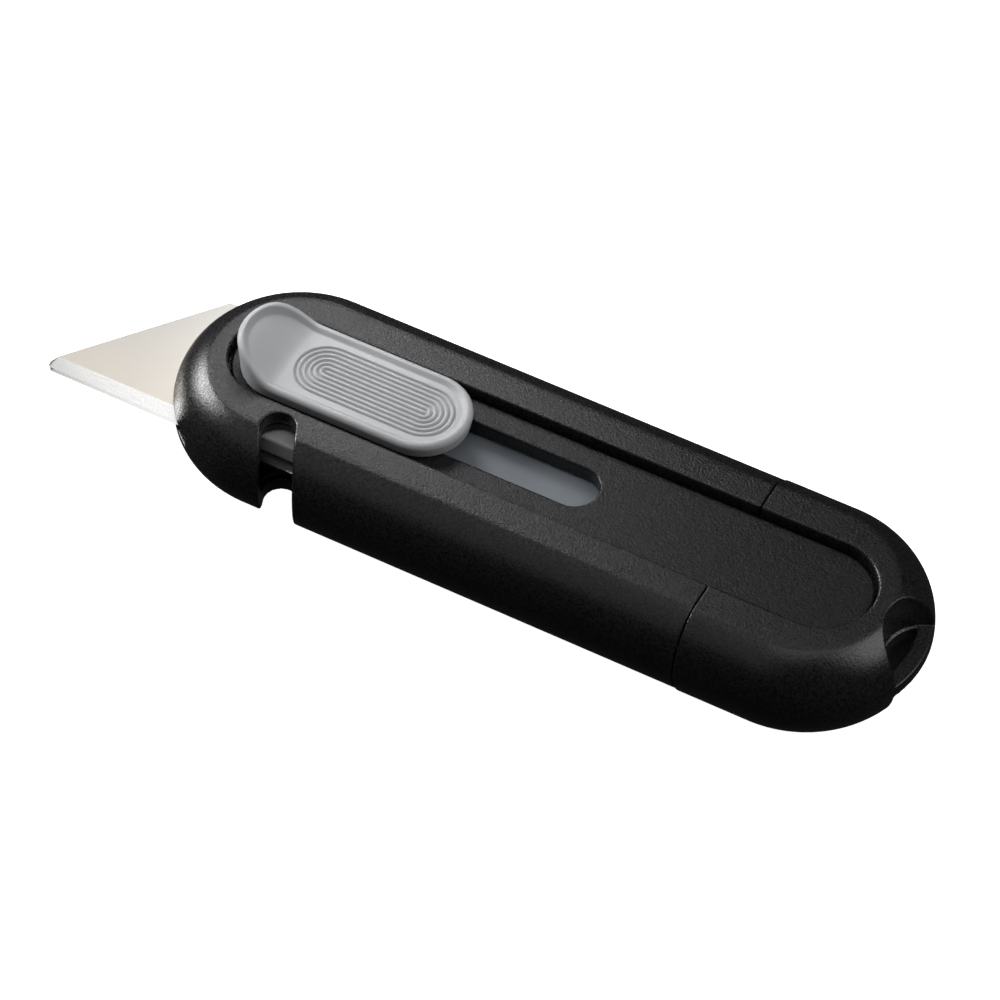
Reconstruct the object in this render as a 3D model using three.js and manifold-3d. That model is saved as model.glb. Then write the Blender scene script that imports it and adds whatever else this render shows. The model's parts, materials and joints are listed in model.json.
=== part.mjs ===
// Utility knife with a sliding trapezoid blade, a thumb slider and a pull-off rear cap.
// Millimetres, +Z up. The handle lies flat on its underside with +X towards the rear cap,
// the origin at the centre of the underside and the blade out at -X.
import * as THREE from 'three';
import { mergeVertices } from 'three/addons/utils/BufferGeometryUtils.js';
import Module from 'manifold-3d';

const wasm = await Module();
wasm.setup();

// ---- driving dimensions -------------------------------------------------------------------
const GAP = 0.3;                    // clearance between neighbouring pieces
const HANDLE_HEIGHT = 13.4;
const MID_Z = HANDLE_HEIGHT / 2;
const END_X = 32.2;                 // centres of the two round ends
const FLANK_RADIUS = 7.2;           // round of the flank in section
const FLANK_CENTRE = 7.3;           // half-width at which that round is centred
const FLANK_STEPS = 6;
const END_SEGMENTS = 48;
const SEAM_X = 23.3;                // front sleeve meets rear cap
const CAP_PROUD = 0.12;
const WALL = 2.0;                   // shell wall, square to the flank
const FLAT_WALL = 1.8;              // shell wall above and below
const WINDOW = { x0: -34.2, x1: 34, r: 6.3 };
const PANEL_Z = HANDLE_HEIGHT - 1.28;
const SLOT = { x0: -28, x1: 3.35, r: 2.9 };
const TRAVEL = 20.6;                // blade out at 0, blade in at TRAVEL

const CHANNEL = { halfWidth: 10.3, z0: 3.3, z1: 10.1 };
const CHASSIS = { x1: 40, z0: FLAT_WALL + GAP, z1: HANDLE_HEIGHT - FLAT_WALL - GAP };
const REAR_BLOCK = { x0: 34, halfWidth: 8 };

const BLADE = { tipX: -61.5, length: 61, edgeY: -9.9, height: 19, slant: 14.7, bevel: 2.15 };
const BLADE_THICKNESS = 0.6;
const TIP_ROUND = 1.1;
const CARRIER = { x0: -38, x1: 12, y0: -8.9, y1: 8.6, z0: 7.15, z1: 9.8 };
const JAW = { x0: -36, x1: 11, y0: -8.4, y1: 8.4, z0: 3.9, z1: 6.2 };
const JAW_RELIEF = { x0: -30.2, x1: 6, depth: 1.2 };
const HOLDER_CORNER = 2.2;

const MAGNET_X = -20;
const MAGNET_RADIUS = 2.5;

const NOTCH = { x: -29.4, y: -9.4, r: 2.0, lean: THREE.MathUtils.degToRad(25) };
const NOSE_SLIT = { y0: -11.8, y1: 10.4, halfHeight: 0.8 };

const SLIDER = { x0: -33.4, x1: -16.1, r: 5.8, z0: PANEL_Z + 0.35, rimZ: 14.4, lipZ: 17.4 };
const RIM_WIDTH = 1.2;
const DISH = 0.45;                  // how far the pad lies below the slider's rim
const STEM = { x0: -28, x1: -17.4, r: 2.5 };
const RIPPLE = {
  x0: -28.5, x1: -15.9, r: 3.9, pitch: 0.65, count: 6, width: 0.3, depth: 0.25,
};

const SCREW = { head: 1.6, shank: 0.9, headHeight: 0.8, socket: 0.8, socketDepth: 0.5 };
const SLEEVE_SCREWS = { x: [-18, 15], y: [-8, 8], z0: 0.15, length: 3.0 };
const LANYARD = { x: 47.4, r: 5.2, barHalfHeight: 0.85, barWidth: 1.85, ledge: 0.35, halfWidth: 4.7 };
const TONGUE = { x0: 24.5, y0: 9.2, y1: 10.0, halfHeight: 2.2 };
const SPRING = { x0: -8, x1: 10, y: 5.8, width: 2.6, thickness: 0.4, z: 8.8, bumpZ: 9.8 };

// ---- finishes -----------------------------------------------------------------------------
const finish = (color, roughness, metalness) =>
  new THREE.MeshStandardMaterial({ color, roughness, metalness });
const SHELL = finish(0x2b2c2e, 0.72, 0);
const PANEL = finish(0x303235, 0.75, 0);
const SLATE = finish(0x5d6267, 0.6, 0);
const LIGHT_GREY = finish(0xb4b5b6, 0.5, 0);
const BLADE_STEEL = finish(0xdcd6ce, 0.32, 1);
const SPRING_STEEL = finish(0x9a9da1, 0.35, 1);
const SCREW_STEEL = finish(0x6e7175, 0.4, 1);
const MAGNET = finish(0xa8a9ad, 0.3, 1);

// ---- solids from three.js geometry --------------------------------------------------------
function solid(geometry) {
  const bare = geometry.clone();
  bare.deleteAttribute('normal');
  bare.deleteAttribute('uv');
  const merged = mergeVertices(bare, 1e-5);
  return new wasm.Manifold(new wasm.Mesh({
    numProp: 3,
    vertProperties: new Float32Array(merged.attributes.position.array),
    triVerts: new Uint32Array(merged.index.array),
  }));
}

function geometryOf(body) {
  const data = body.getMesh();
  const geometry = new THREE.BufferGeometry();
  geometry.setAttribute('position', new THREE.BufferAttribute(data.vertProperties, 3));
  geometry.setIndex(new THREE.BufferAttribute(data.triVerts, 1));
  geometry.computeVertexNormals();
  return geometry;
}

function box(x0, x1, y0, y1, z0, z1) {
  const geometry = new THREE.BoxGeometry(x1 - x0, y1 - y0, z1 - z0);
  geometry.translate((x0 + x1) / 2, (y0 + y1) / 2, (z0 + z1) / 2);
  return solid(geometry);
}

function disc(x, y, radius, z0, z1, segments = 20) {
  const geometry = new THREE.CylinderGeometry(radius, radius, z1 - z0, segments);
  geometry.rotateX(Math.PI / 2);
  geometry.translate(x, y, (z0 + z1) / 2);
  return solid(geometry);
}

function prism(shape, z0, z1, curveSegments = 16) {
  const geometry = new THREE.ExtrudeGeometry(shape, {
    depth: z1 - z0, bevelEnabled: false, curveSegments,
  });
  geometry.translate(0, 0, z0);
  return solid(geometry);
}

// A shape drawn in X and Z, carried across Y.
function crossPrism(shape, y0, y1, curveSegments = 16) {
  const geometry = new THREE.ExtrudeGeometry(shape, {
    depth: y1 - y0, bevelEnabled: false, curveSegments,
  });
  geometry.rotateX(Math.PI / 2);
  geometry.translate(0, y1, 0);
  return solid(geometry);
}

// A block with its four upright edges rounded.
function slab({ x0, x1, y0, y1, z0, z1 }, radius) {
  const shape = new THREE.Shape();
  shape.absarc(x1 - radius, y0 + radius, radius, -Math.PI / 2, 0);
  shape.absarc(x1 - radius, y1 - radius, radius, 0, Math.PI / 2);
  shape.absarc(x0 + radius, y1 - radius, radius, Math.PI / 2, Math.PI);
  shape.absarc(x0 + radius, y0 + radius, radius, Math.PI, 3 * Math.PI / 2);
  shape.closePath();
  return prism(shape, z0, z1, 6);
}

function stadium(x0, x1, radius, z0, z1) {
  const shape = new THREE.Shape();
  shape.absarc(x1, 0, radius, -Math.PI / 2, Math.PI / 2);
  shape.absarc(x0, 0, radius, Math.PI / 2, 3 * Math.PI / 2);
  shape.closePath();
  return prism(shape, z0, z1);
}

// Half-width of the handle at a height, drawn in by inset from the outside.
function halfWidthAt(z, inset) {
  const rise = z - MID_Z;
  const round = FLANK_RADIUS - inset;
  return FLANK_CENTRE + Math.sqrt(Math.max(round * round - rise * rise, 0));
}

// The rounded handle body between two heights, drawn in by inset (negative grows it).
function handleBody(inset, z0, z1) {
  const section = [];
  for (let step = 0; step <= 2 * FLANK_STEPS; step += 1) {
    const turn = step / (2 * FLANK_STEPS);
    const z = MID_Z - (MID_Z - z0) * Math.cos(Math.PI * turn);
    section.push(new THREE.Vector2(halfWidthAt(z, inset), z));
  }
  const ends = [-END_X, END_X].map((x) => {
    const profile = [new THREE.Vector2(0, z0), ...section, new THREE.Vector2(0, z1)];
    const geometry = new THREE.LatheGeometry(profile, END_SEGMENTS);
    geometry.rotateX(Math.PI / 2);
    geometry.translate(x, 0, 0);
    return solid(geometry);
  });
  const outline = new THREE.Shape([
    ...section,
    ...[...section].reverse().map((point) => new THREE.Vector2(-point.x, point.y)),
  ]);
  const middle = new THREE.ExtrudeGeometry(outline, { depth: 2 * END_X, bevelEnabled: false });
  middle.rotateX(Math.PI / 2);
  middle.rotateZ(Math.PI / 2);
  middle.translate(-END_X, 0, 0);
  return solid(middle).add(ends[0]).add(ends[1]);
}

// ---- the handle ---------------------------------------------------------------------------
function shellCavity(endX) {
  const cavity = handleBody(WALL, FLAT_WALL, HANDLE_HEIGHT - FLAT_WALL);
  return cavity.intersect(box(-60, endX, -20, 20, 0, 20));
}

function windowCut() {
  return stadium(WINDOW.x0, WINDOW.x1, WINDOW.r, MID_Z, HANDLE_HEIGHT + 1);
}

// The string-cutting notch: a slot with a round end that leans towards the rear.
function notchCut(grow) {
  const shape = new THREE.Shape();
  const radius = NOTCH.r + grow;
  shape.absarc(0, 0, radius, 0, Math.PI);
  shape.lineTo(-radius, -9);
  shape.lineTo(radius, -9);
  shape.closePath();
  const geometry = new THREE.ExtrudeGeometry(shape, { depth: 20, bevelEnabled: false });
  geometry.rotateZ(NOTCH.lean);
  geometry.translate(NOTCH.x, NOTCH.y, -3);
  return solid(geometry);
}

function screwHole(x, y, z0, z1, counterboreTo) {
  const hole = disc(x, y, SCREW.shank + GAP, z0, z1);
  return hole.add(disc(x, y, SCREW.head + GAP, z0, counterboreTo));
}

function sleeveScrewPlaces() {
  return SLEEVE_SCREWS.x.flatMap((x) => SLEEVE_SCREWS.y.map((y) => ({ x, y })));
}

function frontSleeve() {
  let sleeve = handleBody(0, 0, HANDLE_HEIGHT).intersect(box(-60, SEAM_X, -20, 20, -1, 20));
  sleeve = sleeve.subtract(shellCavity(60)).subtract(windowCut()).subtract(notchCut(0));
  const { y0, y1, halfHeight } = NOSE_SLIT;
  sleeve = sleeve.subtract(box(-50, -34, y0, y1, MID_Z - halfHeight, MID_Z + halfHeight));
  for (const { x, y } of sleeveScrewPlaces()) {
    const bore = SLEEVE_SCREWS.z0 + SCREW.headHeight + GAP;
    sleeve = sleeve.subtract(screwHole(x, y, -1, FLAT_WALL + 1, bore));
  }
  return sleeve;
}

function lanyardCut() {
  const { x, r, barHalfHeight, barWidth, ledge, halfWidth } = LANYARD;
  const scoopAbove = disc(x, 0, r, MID_Z + barHalfHeight, HANDLE_HEIGHT + 1, END_SEGMENTS);
  const scoopBelow = disc(x, 0, r, -1, MID_Z - barHalfHeight, END_SEGMENTS);
  const inside = halfWidthAt(MID_Z, barWidth);
  let eye = disc(END_X, 0, inside, 0, HANDLE_HEIGHT, 2 * END_SEGMENTS);
  eye = eye.intersect(disc(x, 0, r - ledge, 0, HANDLE_HEIGHT, END_SEGMENTS));
  eye = eye.intersect(box(END_X, 60, -halfWidth, halfWidth, 0, HANDLE_HEIGHT));
  return scoopAbove.add(scoopBelow).add(eye);
}

function capTongue(side) {
  const { x0, y0, y1, halfHeight } = TONGUE;
  const low = Math.min(side * y0, side * y1);
  const high = Math.max(side * y0, side * y1);
  return box(x0, CHASSIS.x1 + 1, low, high, MID_Z - halfHeight, MID_Z + halfHeight);
}

function rearCap() {
  const outside = handleBody(-CAP_PROUD, 0, HANDLE_HEIGHT);
  let cap = outside.intersect(box(SEAM_X + GAP, 60, -20, 20, -1, 20));
  cap = cap.subtract(shellCavity(CHASSIS.x1 + GAP)).subtract(windowCut());
  cap = cap.subtract(lanyardCut());
  return cap.add(capTongue(-1)).add(capTongue(1));
}

function chassisHalf(z0, z1) {
  const body = handleBody(WALL + GAP, CHASSIS.z0, CHASSIS.z1);
  const half = body.intersect(box(-60, CHASSIS.x1, -20, 20, z0, z1));
  const { halfWidth } = CHANNEL;
  const channel = box(-60, 60, -halfWidth, halfWidth, CHANNEL.z0, CHANNEL.z1);
  const { x0, halfWidth: blockHalf } = REAR_BLOCK;
  const block = box(x0, CHASSIS.x1, -blockHalf, blockHalf, CHANNEL.z0 - 0.5, CHANNEL.z1 + 0.5);
  const kept = half.intersect(block);
  return half.subtract(channel).add(kept).subtract(notchCut(GAP));
}

function rearScrewPlaces() {
  return [-4.5, 4.5].map((y) => ({ x: 37, y }));
}

function upperTrack() {
  let track = chassisHalf(MID_Z + GAP / 2, CHASSIS.z1);
  const { x0, x1, r } = WINDOW;
  track = track.add(stadium(x0, x1, r - GAP, CHASSIS.z1 - 0.4, PANEL_Z));
  track = track.subtract(stadium(SLOT.x0, SLOT.x1, SLOT.r, CHANNEL.z1 - 1, PANEL_Z + 1));
  const bumpX = (SPRING.x0 + SPRING.x1) / 2;
  for (const stop of [0, TRAVEL / 2, TRAVEL]) {
    const x = bumpX + stop;
    track = track.subtract(box(x - 1.2, x + 1.2, 4, 7.6, CHANNEL.z1 - 1, CHANNEL.z1 + 0.5));
  }
  for (const { x, y } of rearScrewPlaces()) {
    track = track.subtract(disc(x, y, SCREW.shank + GAP, MID_Z, CHANNEL.z1));
  }
  return track;
}

function lowerTray() {
  let tray = chassisHalf(CHASSIS.z0, MID_Z - GAP / 2);
  for (const side of [-1, 1]) {
    const low = side * 5.5 - 0.5;
    tray = tray.add(box(-34, REAR_BLOCK.x0 + 1, low, low + 1, CHANNEL.z0 - 0.5, CHANNEL.z0 + 0.3));
  }
  for (const { x, y } of sleeveScrewPlaces()) {
    tray = tray.subtract(disc(x, y, SCREW.shank + GAP, 0, CHANNEL.z0 + 1));
  }
  for (const { x, y } of rearScrewPlaces()) {
    tray = tray.subtract(screwHole(x, y, 0, MID_Z, CHANNEL.z0 + 0.2));
  }
  return tray;
}

// A screw standing on its head with a hexagon socket, its head's underside at z0.
function screw(x, y, z0, length) {
  let body = disc(x, y, SCREW.head, z0, z0 + SCREW.headHeight, 18);
  body = body.add(disc(x, y, SCREW.shank, z0 + SCREW.headHeight / 2, z0 + length, 12));
  return body.subtract(disc(x, y, SCREW.socket, z0 - 1, z0 + SCREW.socketDepth, 6));
}

// ---- the carriage -------------------------------------------------------------------------
// Blade outline: a trapezoid with a rounded point at each end of the cutting edge.
function bladeOutline() {
  const { tipX, length, edgeY, height, slant } = BLADE;
  const lean = Math.atan2(height, slant);
  const back = TIP_ROUND / Math.tan(lean / 2);
  const centreY = edgeY + TIP_ROUND;
  const start = Math.PI / 2 + lean;
  const shape = new THREE.Shape();
  shape.absarc(tipX + back, centreY, TIP_ROUND, start, 3 * Math.PI / 2);
  shape.absarc(tipX + length - back, centreY, TIP_ROUND, -Math.PI / 2, Math.PI - start);
  shape.lineTo(tipX + length - slant, edgeY + height);
  shape.lineTo(tipX + slant, edgeY + height);
  shape.closePath();
  return shape;
}

// Blade section across Y: parallel faces that run down to a keen edge.
function bladeSection() {
  const half = BLADE_THICKNESS / 2;
  const { edgeY, bevel, height } = BLADE;
  const points = [[edgeY, -0.02], [edgeY + bevel, -half], [edgeY + height, -half],
    [edgeY + height, half], [edgeY + bevel, half], [edgeY, 0.02]];
  const shape = new THREE.Shape(points.map(([y, z]) => new THREE.Vector2(y, z)));
  const { tipX, length } = BLADE;
  const geometry = new THREE.ExtrudeGeometry(shape, { depth: length, bevelEnabled: false });
  geometry.rotateX(Math.PI / 2);
  geometry.rotateZ(Math.PI / 2);
  geometry.translate(tipX, 0, MID_Z);
  return solid(geometry);
}

function pinPlaces() {
  const middle = BLADE.tipX + BLADE.length / 2;
  return [-5.5, 5.5].map((along) => ({ x: middle + along, y: 6.9 }));
}

function blade() {
  let body = prism(bladeOutline(), MID_Z - 1, MID_Z + 1, 6).intersect(bladeSection());
  for (const { x, y } of pinPlaces()) {
    body = body.subtract(disc(x, y, 1.4, MID_Z - 2, MID_Z + 2));
    body = body.subtract(box(x - 1.4, x + 1.4, y, 12, MID_Z - 2, MID_Z + 2));
  }
  return body;
}

function carrierScrewPlaces() {
  return [-6, 1].map((y) => ({ x: 7, y }));
}

function sliderScrewPlaces() {
  return [-26.5, -19].map((x) => ({ x, y: 0 }));
}

function springPocket() {
  const { x0, x1, y, width, z } = SPRING;
  const half = width / 2 + GAP;
  return box(x0 - GAP, x1 + GAP, y - half, y + half, z - GAP, CARRIER.z1 + 1);
}

function bladeCarrier() {
  const { z0, z1 } = CARRIER;
  let body = slab(CARRIER, HOLDER_CORNER).subtract(springPocket());
  for (const { x, y } of pinPlaces()) {
    body = body.subtract(disc(x, y, 1.3, z0 - 1, z1 - 0.9));
  }
  for (const { x, y } of carrierScrewPlaces()) {
    body = body.subtract(disc(x, y, SCREW.shank + GAP, z0 - 1, z1 - 0.6));
  }
  for (const { x, y } of sliderScrewPlaces()) {
    body = body.subtract(screwHole(x, y, z0 - 1, z1 + 1, z0 + 1.2));
  }
  for (const end of [SPRING.x0 + 1.5, SPRING.x1 - 1.5]) {
    body = body.subtract(disc(end, SPRING.y, 0.9, SPRING.z - 1.4, SPRING.z, 12));
  }
  return body;
}

function carrierJaw() {
  const { y0, z0, z1 } = JAW;
  const relief = JAW_RELIEF;
  let body = slab(JAW, HOLDER_CORNER);
  body = body.subtract(box(relief.x0, relief.x1, y0 - 1, y0 + relief.depth, z0 - 1, z1 + 1));
  body = body.subtract(disc(MAGNET_X, 0, MAGNET_RADIUS + GAP, z1 - 1.6, z1 + 1));
  for (const { x, y } of pinPlaces()) {
    body = body.subtract(disc(x, y, 1.3, z0 + 0.6, z1 + 1));
  }
  for (const { x, y } of carrierScrewPlaces()) {
    body = body.subtract(screwHole(x, y, z0 - 1, z1 + 1, z0 + 1.2));
  }
  return body;
}

function magnet() {
  return disc(MAGNET_X, 0, MAGNET_RADIUS, JAW.z1 - 1.3, JAW.z1 - 0.1);
}

// Leaf spring: flat feet with an arched middle that drops into the stops of the track.
function detentSpring() {
  const { x0, x1, y, width, thickness, z, bumpZ } = SPRING;
  const middle = (x0 + x1) / 2;
  const shape = new THREE.Shape();
  shape.moveTo(x0, z);
  shape.lineTo(x0 + 3, z);
  shape.bezierCurveTo(middle - 2, z, middle - 2, bumpZ - thickness, middle, bumpZ - thickness);
  shape.bezierCurveTo(middle + 2, bumpZ - thickness, middle + 2, z, x1 - 3, z);
  shape.lineTo(x1, z);
  shape.lineTo(x1, z + thickness);
  shape.lineTo(x1 - 3, z + thickness);
  shape.bezierCurveTo(middle + 2.4, z + thickness, middle + 2.4, bumpZ, middle, bumpZ);
  shape.bezierCurveTo(middle - 2.4, bumpZ, middle - 2.4, z + thickness, x0 + 3, z + thickness);
  shape.lineTo(x0, z + thickness);
  shape.closePath();
  let body = crossPrism(shape, y - width / 2, y + width / 2, 8);
  for (const x of [x0 + 1.5, x1 - 1.5]) {
    body = body.subtract(disc(x, y, 0.8, z - 1, z + 2, 12));
  }
  return body;
}

function rivet(x) {
  const foot = disc(x, SPRING.y, 0.6, SPRING.z - 1.1, SPRING.z + 0.7, 12);
  return foot.add(disc(x, SPRING.y, 1.1, SPRING.z + 0.55, SPRING.z + 0.95, 12));
}

// Side profile of the slider: level over the pad, rising in an S to the front lip.
function sliderProfile(drop) {
  const { x0, x1, r, z0, rimZ, lipZ } = SLIDER;
  const shape = new THREE.Shape();
  shape.moveTo(x1 + r, z0 - 1);
  shape.lineTo(x1 + r, rimZ - drop);
  shape.lineTo(x0 + 1.6, rimZ - drop);
  shape.bezierCurveTo(x0 - 1.2, rimZ - drop, x0 - 1.8, lipZ - drop, x0 - 4.8, lipZ - drop);
  shape.lineTo(x0 - r, lipZ - drop);
  shape.lineTo(x0 - r, z0 - 1);
  shape.closePath();
  return shape;
}

// Nested grooves, each a slot-shaped ring, with a plain bar left in the middle.
function ripples(top) {
  const grooves = [];
  for (let ring = 0; ring < RIPPLE.count; ring += 1) {
    const outer = RIPPLE.r - ring * RIPPLE.pitch;
    const groove = stadium(RIPPLE.x0, RIPPLE.x1, outer, top - RIPPLE.depth, top + 1);
    const inner = stadium(RIPPLE.x0, RIPPLE.x1, outer - RIPPLE.width, top - 1, top + 2);
    grooves.push(groove.subtract(inner));
  }
  return wasm.Manifold.union(grooves);
}

function thumbSlider() {
  const { x0, x1, r, z0, rimZ, lipZ } = SLIDER;
  let body = stadium(x0, x1, r, z0, lipZ + 1);
  body = body.intersect(crossPrism(sliderProfile(0), -r, r, 12));
  const dish = stadium(x0, x1, r - RIM_WIDTH, z0, lipZ + 2);
  body = body.subtract(dish.subtract(crossPrism(sliderProfile(DISH), -r, r, 12)));
  body = body.subtract(ripples(rimZ - DISH));
  body = body.add(stadium(STEM.x0, STEM.x1, STEM.r, CARRIER.z1 + GAP, z0 + 0.5));
  for (const { x, y } of sliderScrewPlaces()) {
    body = body.subtract(disc(x, y, SCREW.shank + GAP, CARRIER.z1 - 1, z0 + 0.6, 12));
  }
  return body;
}

// ---- assembly -----------------------------------------------------------------------------
const knife = new THREE.Group();
const handle = new THREE.Group();
const carriage = new THREE.Group();
knife.add(handle, carriage);

function place(group, name, body, material) {
  const mesh = new THREE.Mesh(geometryOf(body), material);
  mesh.name = name;
  group.add(mesh);
}

place(handle, 'front_sleeve', frontSleeve(), SHELL);
place(handle, 'upper_track', upperTrack(), PANEL);
place(handle, 'lower_tray', lowerTray(), PANEL);
sleeveScrewPlaces().forEach(({ x, y }, index) => {
  const body = screw(x, y, SLEEVE_SCREWS.z0, SLEEVE_SCREWS.length);
  place(handle, `sleeve_screw_${index + 1}`, body, SCREW_STEEL);
});
rearScrewPlaces().forEach(({ x, y }, index) => {
  place(handle, `chassis_screw_${index + 1}`, screw(x, y, 2.4, 7.2), SCREW_STEEL);
});
place(knife, 'rear_cap', rearCap(), SHELL);

place(carriage, 'blade', blade(), BLADE_STEEL);
place(carriage, 'blade_carrier', bladeCarrier(), SLATE);
place(carriage, 'carrier_jaw', carrierJaw(), SLATE);
place(carriage, 'blade_magnet', magnet(), MAGNET);
pinPlaces().forEach(({ x, y }, index) => {
  place(carriage, `locating_pin_${index + 1}`, disc(x, y, 1, 4.8, 8.6, 16), SPRING_STEEL);
});
carrierScrewPlaces().forEach(({ x, y }, index) => {
  place(carriage, `carrier_screw_${index + 1}`, screw(x, y, 4.0, 4.9), SCREW_STEEL);
});
sliderScrewPlaces().forEach(({ x, y }, index) => {
  place(carriage, `slider_screw_${index + 1}`, screw(x, y, 7.2, 5.2), SCREW_STEEL);
});
place(carriage, 'detent_spring', detentSpring(), SPRING_STEEL);
[SPRING.x0 + 1.5, SPRING.x1 - 1.5].forEach((x, index) => {
  place(carriage, `spring_rivet_${index + 1}`, rivet(x), SPRING_STEEL);
});
place(carriage, 'thumb_slider', thumbSlider(), LIGHT_GREY);

export default knife;
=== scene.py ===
"""Looks of a compact utility knife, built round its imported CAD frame.

Lengths are worked out in millimetres and turned to metres when a mesh is made. +X runs from the
nose to the rear cap, +Z stands up through the thumb slider, and the knife lies on the plane Z = 0.
"""
import json
import logging
import math
from dataclasses import dataclass, field
from enum import Enum
from typing import Callable, Sequence

import bmesh
import bpy
import numpy as np
from mathutils import Matrix, Vector


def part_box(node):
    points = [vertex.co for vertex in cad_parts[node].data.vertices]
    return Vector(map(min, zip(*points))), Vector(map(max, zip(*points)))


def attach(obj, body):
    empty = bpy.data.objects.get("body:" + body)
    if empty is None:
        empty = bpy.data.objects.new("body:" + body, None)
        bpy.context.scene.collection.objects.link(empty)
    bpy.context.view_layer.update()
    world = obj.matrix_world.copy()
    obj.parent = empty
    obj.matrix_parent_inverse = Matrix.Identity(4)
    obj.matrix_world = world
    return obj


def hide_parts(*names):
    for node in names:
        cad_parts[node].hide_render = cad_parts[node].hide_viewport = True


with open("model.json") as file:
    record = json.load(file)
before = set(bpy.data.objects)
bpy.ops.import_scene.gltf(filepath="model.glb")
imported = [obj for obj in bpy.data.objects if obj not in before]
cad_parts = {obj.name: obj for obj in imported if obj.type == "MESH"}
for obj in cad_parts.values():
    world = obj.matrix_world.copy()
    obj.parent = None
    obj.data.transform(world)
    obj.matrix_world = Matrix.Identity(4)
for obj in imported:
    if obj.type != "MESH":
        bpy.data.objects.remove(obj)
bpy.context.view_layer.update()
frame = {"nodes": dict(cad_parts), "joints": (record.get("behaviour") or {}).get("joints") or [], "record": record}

MM = 0.001
MIX_SOCKETS = (0, 6, 7)  # factor, first and second colour of a Mix node set to colours
MIX_RESULT = 2

Array = np.ndarray
Field = Callable[[Array], Array]
Colour = tuple[float, float, float]

log = logging.getLogger("utility_knife")


# ---- reading the frame ---------------------------------------------------------------------
def span(node: str) -> tuple[Array, Array]:
    """Box of a CAD node.

    Args:
        node: name of the CAD node.

    Returns:
        Its lowest and highest corner, in millimetres.
    """
    low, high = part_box(node)
    return np.array(low) / MM, np.array(high) / MM


def centre_of(node: str) -> Array:
    """Middle of a CAD node's box, in millimetres."""
    low, high = span(node)
    return (low + high) / 2


# ---- fields: a solid is where its field is negative, in millimetres ------------------------
def soft_max(first: Array, second: Array, radius: float) -> Array:
    """Common part of two solids with the edge between them rounded.

    The larger of the two values, plus a quarter of radius times the square of how far the two
    come within radius of each other.

    Args:
        first: field of one solid.
        second: field of the other, negated to cut it away.
        radius: how far from the edge the rounding starts.

    Returns:
        The field of what is left.
    """
    near = np.maximum(radius - np.abs(first - second), 0.0) / radius
    return np.maximum(first, second) + near * near * radius * 0.25


def stadium(p: Array, x0: float, x1: float, radius: float) -> Array:
    """Upright slot: distance in plan to the line from x0 to x1, less the radius."""
    along = p[..., 0] - np.clip(p[..., 0], x0, x1)
    return np.hypot(along, p[..., 1]) - radius


def upright(p: Array, x: float, y: float, radius: float) -> Array:
    """Upright cylinder: distance in plan to its axis, less the radius."""
    return np.hypot(p[..., 0] - x, p[..., 1] - y) - radius


def slab(p: Array, low: Array, high: Array, radius: float) -> Array:
    """Upright block with rounded corners: distance in plan to its outline.

    Args:
        p: points.
        low: lowest corner of the block.
        high: highest corner of the block.
        radius: rounding of the four upright edges.

    Returns:
        The field, negative inside.
    """
    past = np.abs(p[..., :2] - (low[:2] + high[:2]) / 2) - (high[:2] - low[:2]) / 2 + radius
    outside = np.hypot(np.maximum(past[..., 0], 0.0), np.maximum(past[..., 1], 0.0))
    return outside + np.minimum(past.max(axis=-1), 0.0) - radius


def between(values: Array, low: float, high: float) -> Array:
    """Slab between two values: distance outside the nearer face."""
    return np.maximum(low - values, values - high)


# ---- meshes --------------------------------------------------------------------------------
def mesh_object(
    name: str, points: Array, faces: Sequence[Sequence[int]], normals: Array | None = None
) -> bpy.types.Object:
    """Makes an object at the origin from points and faces.

    Args:
        name: name of the piece.
        points: corners in millimetres, one row each.
        faces: corner numbers of each face.
        normals: unit normals of the corners, where the form gives them exactly.

    Returns:
        The object, smooth shaded, linked to the scene.
    """
    mesh = bpy.data.meshes.new(name)
    mesh.from_pydata((points * MM).tolist(), [], [list(face) for face in faces])
    mesh.update()
    mesh.shade_smooth()
    if normals is not None:
        mesh.normals_split_custom_set_from_vertices(normals.tolist())
    piece = bpy.data.objects.new(name, mesh)
    bpy.context.scene.collection.objects.link(piece)
    return piece


def slope(form: Field, points: Array) -> Array:
    """Gradient of a field: half the difference of its values a short way to each side."""
    reach = 0.02
    columns = []
    for axis in range(3):
        step = np.zeros(3)
        step[axis] = reach
        columns.append((form(points + step) - form(points - step)) / (2 * reach))
    return np.stack(columns, axis=-1)


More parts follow.
